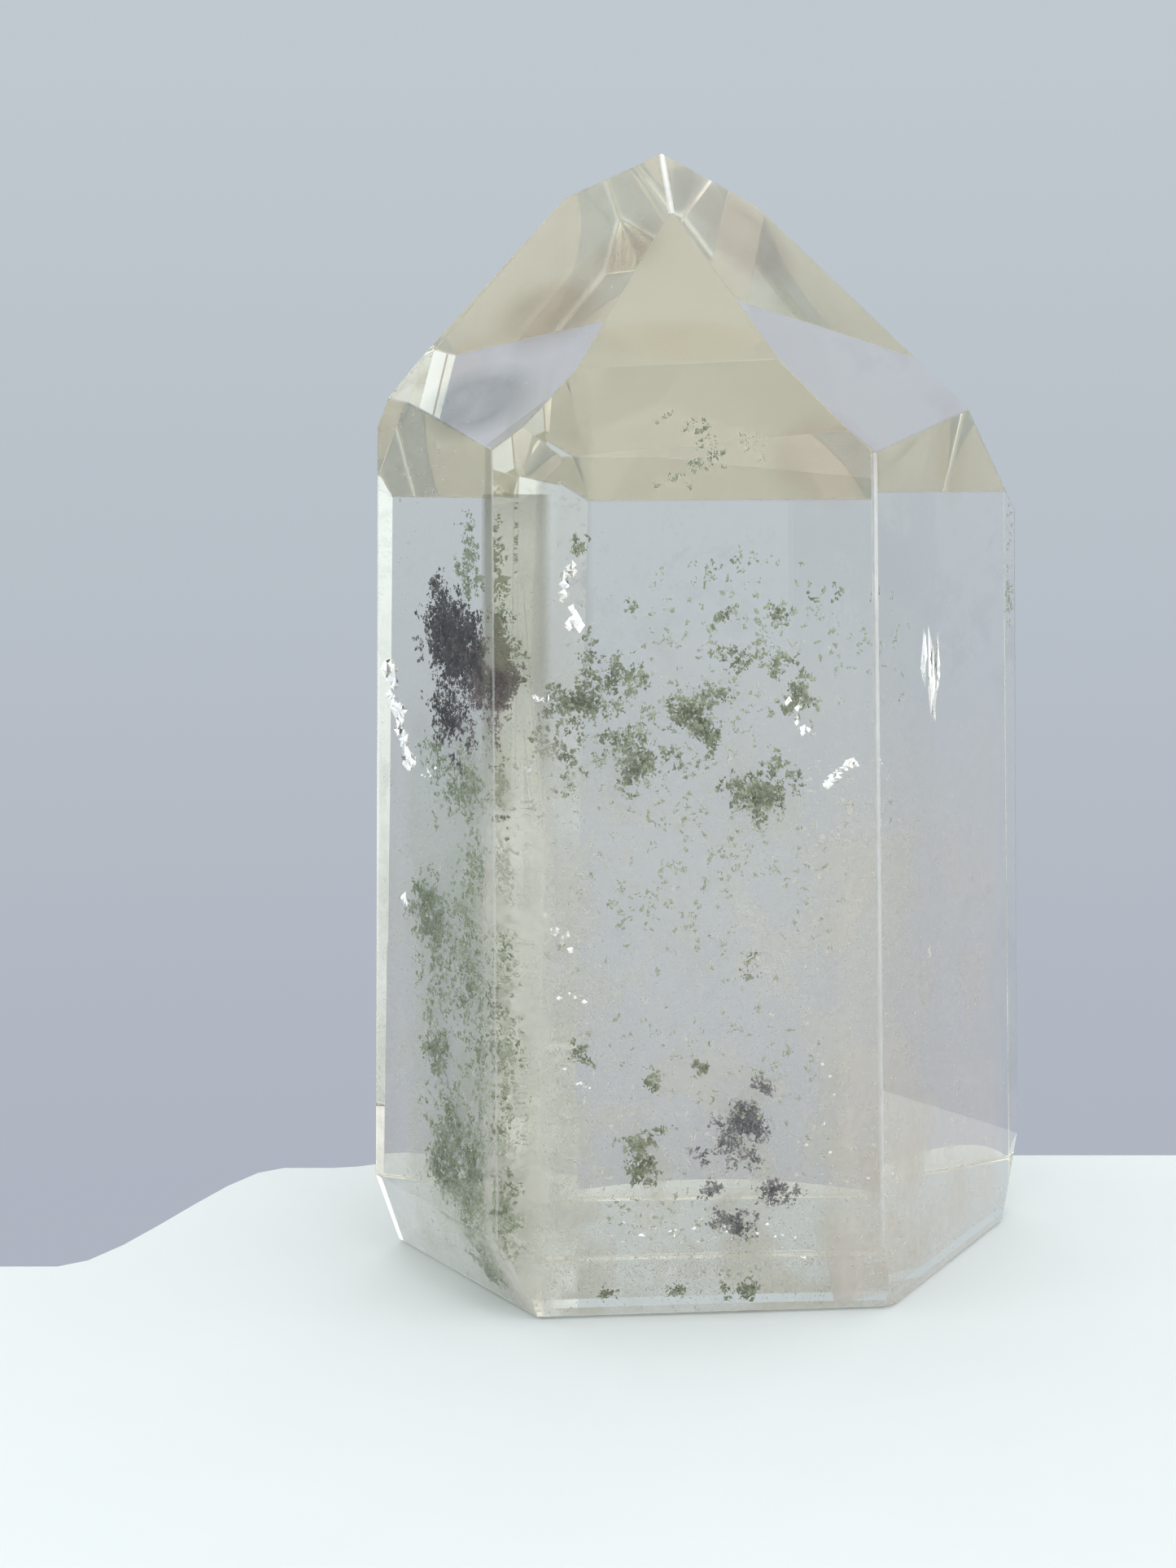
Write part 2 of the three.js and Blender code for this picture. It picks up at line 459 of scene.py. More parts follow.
# A growth layer runs inside the left face and parallel to it. On the layer a place is written as how far
# it lies to the left of the middle of the face, how far it lies inside the face, and its height.
LEFT_MOSS = [
    patch(at=(-4.4, 4, 51.8), reach=(2.0, 0.4, 3.0), flecks=100, crumbs=8),
    patch(at=(-1.5, 4, 37.0), reach=(4.2, 0.5, 3.2), flecks=170, crumbs=8),
    patch(at=(-4.6, 4, 33.0), reach=(2.2, 0.5, 6.0), flecks=110, crumbs=8),
    patch(at=(1.4, 4, 27.0), reach=(2.2, 0.5, 2.4), flecks=200, crumbs=10),
    patch(at=(-0.6, 4, 24.0), reach=(4.6, 0.5, 5.0), flecks=240, crumbs=8),
    patch(at=(-5.0, 4, 19.0), reach=(2.2, 0.5, 8.0), flecks=170, crumbs=8),
    patch(at=(0.4, 4, 17.4), reach=(1.6, 0.4, 2.0), flecks=135, crumbs=10),
    patch(at=(-1.8, 4, 12.0), reach=(3.6, 0.5, 4.6), flecks=290, crumbs=9),
    patch(at=(-0.6, 4, 8.2), reach=(1.8, 0.4, 1.8), flecks=135, crumbs=12),
    patch(at=(-4.6, 4, 8.0), reach=(2.6, 0.5, 4.6), flecks=230, crumbs=9),
    patch(at=(-5.4, 3.6, 2.6), reach=(2.2, 0.3, 1.2), flecks=100, crumbs=9),
]

# Dark grains high on the same layer.
DARK_GRAINS = [
    patch(at=(-1.8, 4, 46.0), reach=(3.6, 0.5, 3.0), flecks=595, crumbs=12),
    patch(at=(0.2, 4, 47.6), reach=(2.2, 0.5, 2.4), flecks=270, crumbs=12),
    patch(at=(-4.0, 4, 46.0), reach=(1.8, 0.5, 3.6), flecks=200, crumbs=12),
    patch(at=(0.3, 4, 50.4), reach=(1.0, 0.3, 0.8), flecks=45, crumbs=10),
    patch(at=(-1.6, 4, 41.2), reach=(3.2, 0.5, 2.0), flecks=215, crumbs=11),
    patch(at=(-6.4, 4, 44.2), reach=(0.3, 0.2, 0.3), flecks=15, crumbs=12),
]

# Grains and moss close behind the narrow front facet.
NARROW_GRAINS = [
    patch(at=(-14.9, -20.3, 44.6), reach=(0.6, 0.3, 3.8), flecks=70, crumbs=9),
    patch(at=(-13.8, -20.3, 45.0), reach=(0.2, 0.2, 0.3), flecks=7, crumbs=10),
]
NARROW_MOSS = [
    patch(at=(-14.4, -20.3, 49.8), reach=(0.8, 0.3, 2.6), flecks=16, crumbs=8),
    patch(at=(-14.4, -20.3, 36.0), reach=(0.9, 0.3, 4.5), flecks=22, crumbs=7),
    patch(at=(-14.6, -20.4, 27.0), reach=(0.9, 0.3, 5.0), flecks=38, crumbs=8),
    patch(at=(-14.6, -20.5, 17.0), reach=(1.0, 0.3, 6.0), flecks=80, crumbs=8),
    patch(at=(-14.6, -20.6, 8.5), reach=(1.0, 0.3, 4.5), flecks=95, crumbs=8),
]

# Rusty purple grains at the front end of the layer.
PURPLE_GRAINS = [
    patch(at=(-5.2, 4, 43.8), reach=(1.2, 0.4, 3.4), flecks=225, crumbs=11),
]

# Grey purple soot low behind the front face.
GREY_GRAINS = [
    patch(at=(2.1, -13, 12.4), reach=(1.3, 0.8, 1.5), flecks=150, crumbs=11),
    patch(at=(1.0, -13, 11.2), reach=(2.0, 0.8, 2.2), flecks=105, crumbs=9),
    patch(at=(4.2, -13, 7.7), reach=(1.1, 0.5, 0.7), flecks=69, crumbs=10),
    patch(at=(-0.4, -13, 7.8), reach=(1.0, 0.5, 0.4), flecks=30, crumbs=9),
    patch(at=(1.2, -13, 5.1), reach=(1.7, 0.6, 1.0), flecks=87, crumbs=9),
    patch(at=(3.6, -13, 14.9), reach=(0.9, 0.3, 0.3), flecks=27, crumbs=9),
]

# Mist of tiny bubbles and white specks, thickest low in the crystal.
MIST = [
    patch(at=(0.0, -12, 13.0), reach=(20, 9, 26), flecks=9500, crumbs=1),
    patch(at=(6.0, -11, 25.0), reach=(9, 6, 15), flecks=4000, crumbs=1),
    patch(at=(-11.0, -15, 15.0), reach=(5, 5, 27), flecks=5000, crumbs=1),
    patch(at=(-19.0, -11, 18.0), reach=(7, 6, 40), flecks=5500, crumbs=1),
    patch(at=(-3.0, -13, 40.0), reach=(18, 8, 9), flecks=1600, crumbs=1),
    patch(at=(0.0, -17, 2.5), reach=(24, 3, 4), flecks=4200, crumbs=1),
    patch(at=(16.5, -5, 16.0), reach=(8, 8, 22), flecks=4000, crumbs=1),
    patch(at=(22.5, 3, 1.2), reach=(1.2, 4, 1.4), flecks=900, crumbs=1),
]

# White scales among the moss.
WHITE_SCALES = [
    patch(at=(-3.0, -13, 26.0), reach=(16, 4, 24), flecks=220, crumbs=5),
    patch(at=(0.0, -14, 9.0), reach=(20, 4, 10), flecks=220, crumbs=6),
    patch(at=(0.0, -17.5, 3.4), reach=(20, 1, 0.8), flecks=130, crumbs=6),
    patch(at=(-11.0, -15, 18.0), reach=(3, 3, 20), flecks=90, crumbs=6),
    patch(at=(-19.0, -11.5, 18.0), reach=(5, 4, 34), flecks=260, crumbs=6),
    patch(at=(7.5, -14, 33.0), reach=(5, 3, 8), flecks=60, crumbs=7),
]

# The left face looks in this direction, and meets the floor this far out, in millimetres.
LEFT_FACE_TURN = math.radians(-146.5)
LEFT_FACE_FOOT = 24.9

MIST_SHARES = 2  # the mist is joined into this many meshes
WISP_SHAPE = Vector((1, 1, 0.4))  # how closely the wisps follow each other along each axis
WISP_EDGE = (-0.5, 0.35)  # no speck is left where the pattern is below the first, and all above the second
WALK = 0.55  # how far a chain goes on from one crumb to the next, as a share of a crumb
GRAIN_RELIEF = 0.01 * MM  # how rough a crumb's faces are
CLUMP = 7  # flecks to a clump
CLUMP_SPREAD = 0.46  # how far the clumps of a patch lie from its middle, as a share of its reach
CLUMP_SIZE = 0.17  # how far the flecks of a clump lie from its middle, as a share of the patch's reach


def from_left_layer(places):
    """Places on the growth layer turned into places in the crystal's frame."""
    outwards = np.array([math.cos(LEFT_FACE_TURN), math.sin(LEFT_FACE_TURN), 0])
    leftwards = np.array([outwards[1], -outwards[0], 0])
    upwards = np.array([0, 0, 1])
    left, depth, height = places.T
    reach = (LEFT_FACE_FOOT - depth)[:, None]
    return reach * outwards + left[:, None] * leftwards + height[:, None] * upwards


def crumb_places(patches, size, rng):
    """A place in millimetres for every crumb of the patches. The flecks of a patch gather in clumps."""
    places = []
    for entry in patches:
        flecks = entry["flecks"]
        clumps = rng.normal(0, CLUMP_SPREAD, (math.ceil(flecks / CLUMP), 3))
        scatter = clumps[rng.integers(len(clumps), size=flecks)] + rng.normal(0, CLUMP_SIZE, (flecks, 3))
        steps = rng.normal(0, WALK * size / MM, (flecks, entry["crumbs"], 3))
        chains = (entry["at"] + scatter * entry["reach"])[:, None] + steps.cumsum(axis=1)
        places.append(chains.reshape(-1, 3))
    return np.concatenate(places)


def grains_mesh(name, places, size, rng):
    """Crumbs of about one size at the places, as one mesh."""
    forms = [crumb_form(seed, flatness) for seed, flatness in enumerate(CRUMB_FLATNESS)]
    count = len(places)
    sizes = size * rng.lognormal(CRUMB_SIZE_DRIFT, CRUMB_SIZE_SPREAD, count)
    turns = rng.uniform(-math.pi, math.pi, (count, 3))
    stretches = rng.uniform(*CRUMB_STRETCH, (count, 3))
    return joined_copies(name, forms, places, sizes, turns, stretches)


def grain_material(name, dark, pale):
    """Dull mineral grains between two colours."""
    material, tree, shader, _, coordinates = new_material(name)
    mineral = use_group(
        tree, shared_group("Mineral"), Place=coordinates.outputs["Object"], Dark=dark, Pale=pale,
    )
    tree.links.new(mineral["Colour"], shader.inputs["Base Color"])
    tree.links.new(mineral["Roughness"], shader.inputs["Roughness"])
    bump(tree, shader, mineral["Relief"], GRAIN_RELIEF)
    return material


def wisps_of(places, wisp_size, rng):
    """The places that a cloudy pattern leaves, gathered in upright wisps about wisp_size metres wide."""
    squash = WISP_SHAPE / wisp_size
    clouds = np.array([noise.noise(Vector(place) * squash) for place in places])
    return places[clouds > rng.uniform(*WISP_EDGE, len(places))]


def add_grains(name, patches, on_layer, material, size, rng):
    """One mesh of crumbs for a list of patches, whose places are on the left growth layer if on_layer."""
    places = crumb_places(patches, size, rng)
    if on_layer:
        places = from_left_layer(places)
    places = inside(places * MM, crystal_walls())
    link_piece(name, grains_mesh(name, places, size, rng), material)


# Bright cracks

def trail(start, end, flakes, size, scatter=0.25, tall=1.0, turn=0):
    """A row of bright flakes from one place to another. size is how wide they are and scatter is how far
    they stray from the row, in millimetres. tall is how much taller than wide they are. turn is how far
    they look to the right of the front, in degrees."""
    return {
        "start": start, "end": end, "flakes": flakes, "size": size, "scatter": scatter, "tall": tall,
        "turn": turn,
    }


CRACKS = [
    # beside the narrow front facet, from the top down
    trail((-10.2, -14, 52.4), (-10.9, -14, 49.6), flakes=14, size=0.55, scatter=0.16, tall=1.6),
    trail((-10.4, -14, 49.2), (-9.9, -14, 47.8), flakes=10, size=0.55, scatter=0.16, tall=1.9),
    trail((-12.6, -20.6, 43.4), (-11.6, -20.6, 43.5), flakes=8, size=0.6, scatter=0.04, tall=0.4),
    trail((-13.2, -18.9, 39.2), (-12.4, -18.9, 38.0), flakes=9, size=0.42, scatter=0.3),
    trail((-12.1, -16, 28.0), (-12.1, -16, 27.6), flakes=2, size=0.55, scatter=0.1, tall=1.3),
    trail((-11.3, -14, 27.0), (-10.6, -14, 25.4), flakes=8, size=0.48, scatter=0.2, tall=1.8),
    trail((-12.6, -16, 25.4), (-12.7, -16, 24.2), flakes=4, size=0.5, scatter=0.08, tall=2.0),
    # by the left silhouette
    trail((-22.9, -8.6, 44.6), (-22.2, -9.2, 42.6), flakes=14, size=1.1, scatter=0.22, tall=1.3, turn=-30),
    trail((-22.7, -8.9, 42.0), (-21.4, -10.6, 41.0), flakes=14, size=1.0, scatter=0.22, tall=1.0, turn=-30),
    trail((-22.2, -9.7, 40.8), (-21.0, -11.4, 37.4), flakes=20, size=0.9, scatter=0.3, tall=1.5, turn=-30),
    trail((-21.4, -10.8, 38.0), (-19.2, -13.6, 37.6), flakes=10, size=0.45, scatter=0.35, turn=-30),
    trail((-22.2, -9.6, 28.4), (-21.3, -10.6, 27.2), flakes=4, size=0.6, scatter=0.06, tall=1.8, turn=-30),
    # on the right of the front face
    trail((7.0, -16, 36.8), (9.2, -16, 38.7), flakes=20, size=0.42, scatter=0.18),
    trail((8.9, -16, 38.4), (9.3, -16, 38.7), flakes=6, size=0.6, scatter=0.1),
    trail((4.4, -14, 42.6), (6.0, -14, 40.4), flakes=10, size=0.3, scatter=0.4, tall=2.2),
    # inside the right face
    trail((11.7, -6, 45.0), (11.6, -6, 43.4), flakes=5, size=0.6, scatter=0.06, tall=7.0, turn=26),
    trail((12.5, -5, 43.6), (12.6, -5, 41.8), flakes=9, size=0.9, scatter=0.12, tall=6.0, turn=26),
    trail((13.4, -5, 44.6), (13.4, -5, 43.0), flakes=4, size=0.5, scatter=0.06, tall=7.0, turn=26),
    trail((13.0, -7, 23.6), (13.1, -7, 22.4), flakes=4, size=0.55, scatter=0.04, tall=2.6, turn=26),
    # low in the crystal
    trail((-11.4, -15, 22.6), (-9.4, -15, 21.6), flakes=5, size=0.34, scatter=0.3),
    trail((-10.9, -15, 16.9), (-8.9, -15, 15.4), flakes=5, size=0.34, scatter=0.2),
    trail((7.2, -14, 17.6), (9.6, -14, 6.4), flakes=9, size=0.30, scatter=0.8),
    trail((-9.0, -16, 5.6), (7.0, -16, 4.4), flakes=26, size=0.28, scatter=0.5),
]


FLAKE_FLATNESS = (0.08, 0.12, 0.10)  # one for each form of flake
FLAKE_LEAN = math.radians(7)  # the flakes look up a little
FLAKE_SWAY = 0.16  # how much the flakes differ in where they look, in radians
FLAKE_SPIN = 0.4  # how much the flakes are turned in their own plane, in radians. Tall ones turn less
FLAKE_SIZES = (0.6, 1.5)  # least and most, as a share of the trail's size
FLAKE_STRETCH = (0.8, 1.3)  # least and most, as a share of how tall the trail's flakes are
FLAKE_TINTS = ((0.94, 0.96, 0.98), (1.0, 1.0, 1.0))  # bare and dusted
FLAKE_ROUGHNESS = (0.08, 0.35)  # bare and dusted


def press_inside(mesh, walls):
    """Move the corners that would come through a wall of the crystal back below it."""
    for vertex in mesh.vertices:
        for middle, normal in walls:
            past = (vertex.co - middle).dot(normal) + PRESSED_DEPTH
            if past > 0:
                vertex.co -= past * normal


def cracks_mesh(name, rng, walls):
    """Every bright flake, as one mesh. The flakes stand about upright and face the front."""
    forms = [crumb_form(seed, flatness) for seed, flatness in enumerate(FLAKE_FLATNESS)]
    places = []
    sizes = []
    turns = []
    stretches = []
    for entry in CRACKS:
        start, end = np.array(entry["start"]), np.array(entry["end"])
        turn = math.radians(entry["turn"])
        for _ in range(entry["flakes"]):
            place = start + rng.uniform() * (end - start) + rng.normal(0, entry["scatter"], 3)
            if len(inside(place[None] * MM, walls)) == 0:
                continue
            places.append(place * MM)
            sizes.append(entry["size"] * MM * rng.uniform(*FLAKE_SIZES))
            ways = (FLAKE_SWAY, FLAKE_SPIN / entry["tall"], FLAKE_SWAY)
            tip_back, spin, swing = rng.normal((FLAKE_LEAN, 0, turn), ways)
            turns.append((math.pi / 2 - tip_back, spin, swing))
            stretches.append((1, entry["tall"] * rng.uniform(*FLAKE_STRETCH), 1))
    mesh = joined_copies(name, forms, places, sizes, turns, np.array(stretches))
    press_inside(mesh, walls)
    return mesh


def crack_material():
    """The mirror of a thin air gap, dusted here and there."""
    material, tree, shader, _, coordinates = new_material("bright cracks")
    specks = noise_mask(tree, coordinates.outputs["Object"], FLAKE_DUST_SCALE, detail=2)
    dust = spread(tree, specks, *CLEAR)
    tree.links.new(mix_colours(tree, dust, *FLAKE_TINTS), shader.inputs["Base Color"])
    tree.links.new(spread(tree, dust, 0, 1, *FLAKE_ROUGHNESS), shader.inputs["Roughness"])
    shader.inputs["Metallic"].default_value = 1
    return material


# Painted edge highlights

def edge_highlight(low, high, low_cover, high_cover, widen=0.0):
    """A painted highlight along a softened edge, from its low to its high end in millimetres: a white mirror
    layer under the polish that stands in for the light the edge catches. widen is how far the white reaches
    past the softened flats on each side."""
    return {
        "low": low, "high": high, "low_cover": low_cover, "high_cover": high_cover, "widen": widen,
    }


# Painted highlights along the softened edges, each fading from its cover at the low end to its cover at the
# high end.
EDGE_HIGHLIGHTS = [
    edge_highlight((-3.2, -14.1, 75.6), (-3.8, -8.5, 79.9), low_cover=1.0, high_cover=1.0, widen=0.08),
    edge_highlight((23.2, 3.1, 54.7), (18.4, -5.0, 62.3), low_cover=0.5, high_cover=0.6, widen=0.08),
    edge_highlight((11.6, -20.0, 4.9), (10.2, -19.7, 59.7), low_cover=0.2, high_cover=1.0, widen=0.16),
    edge_highlight((-15.2, -22.1, 6.0), (-15.3, -21.1, 60.0), low_cover=0.2, high_cover=0.2),
    edge_highlight((24.6, 3.1, 6.3), (23.2, 3.1, 54.7), low_cover=0.2, high_cover=0.8, widen=0.12),
    edge_highlight((23.1, 6.1, 0.1), (24.6, 3.1, 6.3), low_cover=0.6, high_cover=0.6),
    edge_highlight((-24.6, -7.9, 6.3), (-23.8, -8.2, 61.0), low_cover=0.2, high_cover=0.25),
    edge_highlight((-15.2, -22.1, 6.0), (-24.6, -7.9, 6.3), low_cover=0.25, high_cover=0.25),
    edge_highlight((-15.3, -21.1, 60.0), (-21.4, -11.8, 63.0), low_cover=0.3, high_cover=0.3),
]
HIGHLIGHT_REACH = 0.8 * MM  # how near an edge's line its flats lie
HIGHLIGHT_DEPTH = 0.02 * MM  # how far the white layer lies below the polish
HIGHLIGHT_SINK = 0.4  # how much deeper a widened layer lies, as a share of its widening
HIGHLIGHT_THICKNESS = 0.02 * MM
HIGHLIGHT_HALF_WIDTH = 0.1 * MM  # flats that reach this far from the edge's middle are widened in full
HIGHLIGHT_LEFT = (0.6, 1.0)  # how much of its cover is left where the painted highlight is broken most and least
HIGHLIGHT_ROUGHNESS = 0.5
# The two whites of the painted edge highlights.
HIGHLIGHT_TINTS = ((0.93, 0.94, 0.93), (1.0, 1.0, 1.0))


def distance_from_line(place, start, end):
    """How far a place lies from the line between two ends."""
    along = end - start
    share = min(1.0, max(0.0, (place - start).dot(along) / along.length_squared))
    return (place - start - share * along).length


def highlight_strip_mesh(name, entry):
    """A copy of the flats of one softened edge, a little below the surface."""
    low, high = Vector(entry["low"]) * MM, Vector(entry["high"]) * MM
    shape = facet_shape()
    others = [
        face for face in shape.faces
        if not is_strip(face) or not all(
            distance_from_line(vertex.co, low, high) < HIGHLIGHT_REACH for vertex in face.verts
        )
    ]
    bmesh.ops.delete(shape, geom=others, context="FACES")
    outwards = sum((face.normal for face in shape.faces), Vector()).normalized()
    across = (high - low).cross(outwards).normalized()
    middle = sum((vertex.co for vertex in shape.verts), Vector()) / len(shape.verts)
    widen = entry["widen"] * MM
    for vertex in shape.verts:
        side = max(-1.0, min(1.0, (vertex.co - middle).dot(across) / HIGHLIGHT_HALF_WIDTH))
        vertex.co += across * side * widen - outwards * (HIGHLIGHT_DEPTH + HIGHLIGHT_SINK * widen)
    return finished_mesh(name, shape)


def highlight_material(name, entry):
    """A painted edge highlight: a rough white mirror that fades along the edge and is broken in places."""
    material, tree, shader, _, coordinates = new_material(name)
    place = coordinates.outputs["Object"]
    cover = spread(
        tree, split_axes(tree, place)["Z"], entry["low"][2] * MM, entry["high"][2] * MM,
        entry["low_cover"], entry["high_cover"],
    )
    left = spread(tree, noise_mask(tree, place, HIGHLIGHT_BREAK_SCALE), *WEAR_AND_BREAKS, *HIGHLIGHT_LEFT)
    tree.links.new(calculate(tree, "MULTIPLY", cover, left), shader.inputs["Alpha"])
    highlight_white = mix_colours(tree, noise_mask(tree, place, HIGHLIGHT_TINT_SCALE), *HIGHLIGHT_TINTS)
    tree.links.new(highlight_white, shader.inputs["Base Color"])
    shader.inputs["Roughness"].default_value = HIGHLIGHT_ROUGHNESS
    shader.inputs["Metallic"].default_value = 1
    return material


# Veils

def veil(name, at, width, height, turn, cover, tone="haze", lean=0, bend=0, scale=140, floor=0.6, top=80,
         foot=0):
    """A thin cloudy sheet round a middle point, with its width, height and bend in millimetres. It looks
    in the direction turn and leans back, in degrees. cover is how much it hides, floor is the share of
    the cover that is left between its wisps, and scale is how many wisps it has to a metre. It is cut
    off above the height top. foot is how much cover comes on top near the foot."""
    return {
        "name": name, "at": at, "width": width, "height": height, "turn": turn, "cover": cover,
        "tone": tone, "lean": lean, "bend": bend, "scale": scale, "floor": floor, "top": top, "foot": foot,
    }


VEILS = [
    veil("haze_front", at=(-0.5, -10.5, 6), width=32, height=88, turn=-87, cover=0.32, lean=1, bend=0.8,
         scale=260, floor=0.4, foot=0.26),
    veil("haze_left", at=(-16.2, -11.1, 8), width=24, height=88, turn=-146.5, cover=0.25, bend=0.3,
         scale=260, floor=0.4, foot=0.1),
    veil("haze_right", at=(14.2, -8.2, 6), width=30, height=72, turn=-29.5, cover=0.3, tone="warm",
         lean=1, floor=0.5, foot=0.2),
    veil("narrow_haze", at=(-13.4, -19.5, 18), width=4.6, height=50, turn=-94, cover=0.45, lean=1,
         scale=260, floor=0.5),
    # The three olive films below are painted shade: darker sheets that stand in for the shaded cloth seen
    # through the narrow facet and through a band of the front face.
    veil("narrow_shade_film", at=(-13.65, -19.9, 62), width=4.6, height=54, turn=-94, cover=0.48, tone="olive_shade",
         scale=60, floor=0.8, top=57),
    veil("narrow_top_shade_film", at=(-13.65, -20.2, 61), width=4.6, height=14, turn=-94, cover=0.2,
         tone="olive_shade", scale=60, floor=0.8, top=64),
    veil("band_shade_film", at=(-10.6, -12.0, 52), width=3.6, height=24, turn=-87, cover=0.12, tone="olive_shade",
         scale=60, floor=0.8),
    veil("green_film", at=(-15.9, -11.7, 18), width=15, height=50, turn=-146.5, cover=0.26, tone="green",
         bend=-0.4, scale=200),
    veil("corner_haze", at=(-21.6, -9.3, 64.1), width=7, height=9, turn=-143, cover=0.4, lean=37.5,
         scale=300),
]

VEIL_CUTS = 24
VEIL_START = -90  # the direction that an upright sheet looks in before it is turned, in degrees
VEIL_THICKNESS = 0.02 * MM
VEIL_ROUGHNESS = 0.9
VEIL_SHADE = 0.88  # the darker parts of a veil, as a share of its colour
VEIL_MOTTLE = 2.5  # how much finer the pattern of its colour is than the pattern of its cover


def veil_mesh(entry, walls):
    """A bent sheet, cut off where it would reach the crystal's walls."""
    shape = bmesh.new()
    shape.loops.layers.uv.new("rim")
    bmesh.ops.create_grid(
        shape, x_segments=VEIL_CUTS, y_segments=VEIL_CUTS, size=0.5, calc_uvs=True,
    )
    full_bow = 0.5 * 0.5  # what a bow across reaches at the rim, half a unit from the middle
    for vertex in shape.verts:
        across, up = vertex.co.x, vertex.co.y
        bow = across * across + 0.5 * up * across - 0.5 * up * up
        vertex.co.z = entry["bend"] * MM * bow / full_bow
    bmesh.ops.scale(shape, verts=shape.verts, vec=(entry["width"] * MM, entry["height"] * MM, 1))
    upright = Euler((math.pi / 2 - math.radians(entry["lean"]), 0, 0)).to_matrix()
    turned = Euler((0, 0, math.radians(entry["turn"] - VEIL_START))).to_matrix()
    bmesh.ops.rotate(shape, verts=shape.verts, matrix=turned @ upright)
    bmesh.ops.translate(shape, verts=shape.verts, vec=Vector(entry["at"]) * MM)
    cuts = [(middle - normal * SKIN, normal) for middle, normal in walls]
    cuts.append((Vector((0, 0, entry["top"] * MM)), Vector((0, 0, 1))))
    for place, normal in cuts:
        bmesh.ops.bisect_plane(
            shape, geom=shape.verts[:] + shape.edges[:] + shape.faces[:],
            plane_co=place, plane_no=normal, clear_outer=True,
        )
    return finished_mesh(entry["name"], shape)


def veil_material(entry, tones):
    """A pale mist of tiny bubbles, a thin mineral film, or a thin olive film of painted shade."""
    material, tree, shader, _, coordinates = new_material(entry["name"].replace("_", " "))
    place = coordinates.outputs["Object"]
    cover = use_group(
        tree, shared_group("Veil"), Place=place, Rim=coordinates.outputs["UV"],
        Scale=entry["scale"], Floor=entry["floor"], Cover=entry["cover"], Foot=entry["foot"],
    )
    tree.links.new(cover["Mask"], shader.inputs["Alpha"])
    tone = tones[entry["tone"]]
    deeper = tuple(VEIL_SHADE * part for part in tone)
    colour = mix_colours(tree, noise_mask(tree, place, VEIL_MOTTLE * entry["scale"]), deeper, tone)
    tree.links.new(colour, shader.inputs["Base Color"])
    shader.inputs["Roughness"].default_value = VEIL_ROUGHNESS
    shader.inputs["Specular IOR Level"].default_value = 0
    return material


# Settings

class CrystalSettings(bpy.types.PropertyGroup):
    """The quartz itself."""

    refraction: FloatProperty(
        name="Refractive index", description="How strongly the quartz bends light",
        default=1.544, min=1.0, max=2.5,
    )
    smoke: FloatVectorProperty(
        name="Smoke colour", description="Colour that is left of white light in the quartz",
        subtype="COLOR", default=(0.88, 0.81, 0.35), min=0, max=1,
    )
    smoke_density: FloatProperty(
        name="Smoke density", description="How quickly the quartz takes light away, per metre",
        default=2.6, min=0,
    )
    ripple: FloatProperty(
        name="Polish ripple", description="Depth of the faint waves that polishing left",
        default=0.001 * MM, unit="LENGTH", min=0,
    )
    edge_wear: FloatProperty(
        name="Edge wear", description="Roughness of the rubbed edges",
        default=0.12, min=0, max=1,
    )


class GrainSettings(bpy.types.PropertyGroup):
    """The mineral grains sealed in the quartz."""

    size: FloatProperty(
        name="Crumb size", description="Usual width of one crumb of a fleck",
        default=0.19 * MM, unit="LENGTH", min=0.05 * MM,
    )
    mist_size: FloatProperty(
        name="Mist speck size", description="Usual width of one white speck of the mist",
        default=0.12 * MM, unit="LENGTH", min=0.05 * MM,
    )
    wisp_size: FloatProperty(
        name="Wisp size", description="How wide the wisps of the mist are",
        default=3 * MM, unit="LENGTH", min=0.5 * MM,
    )
    moss_dark: FloatVectorProperty(
        name="Dark moss", description="Darker green of the moss",
        subtype="COLOR", default=(0.25, 0.28, 0.18), min=0, max=1,
    )
    moss_pale: FloatVectorProperty(
        name="Pale moss", description="Paler grey green of the moss",
        subtype="COLOR", default=(0.55, 0.60, 0.45), min=0, max=1,
    )
    moss_faded: FloatVectorProperty(
        name="Faded moss", description="Darker green of the moss on the left growth layer",
        subtype="COLOR", default=(0.37, 0.44, 0.26), min=0, max=1,
    )
    dust: FloatVectorProperty(
        name="Dust", description="Grey green of the finest dust",
        subtype="COLOR", default=(0.62, 0.66, 0.55), min=0, max=1,
    )
    seed: IntProperty(name="Seed", description="Picks one arrangement of the grains", default=7)


class VeilSettings(bpy.types.PropertyGroup):
    """The pale veils, the green mineral film and the olive films of painted shade sealed in the quartz."""

    haze: FloatVectorProperty(
        name="Haze", description="Colour of the mist of tiny bubbles",
        subtype="COLOR", default=(0.97, 0.96, 0.90), min=0, max=1,
    )
    # Painted shade: the olive films darken what is seen through the narrow facet and a band of the front
    # face.
    olive_shade: FloatVectorProperty(
        name="Olive shade film", description="Colour of the film behind the narrow front facet",
        subtype="COLOR", default=(0.38, 0.38, 0.26), min=0, max=1,
    )
    green: FloatVectorProperty(
        name="Green film", description="Colour of the film on the left growth layer",
        subtype="COLOR", default=(0.72, 0.79, 0.65), min=0, max=1,
    )
    warm: FloatVectorProperty(
        name="Warm haze", description="Colour of the warmer mist on the right",
        subtype="COLOR", default=(0.97, 0.90, 0.84), min=0, max=1,
    )


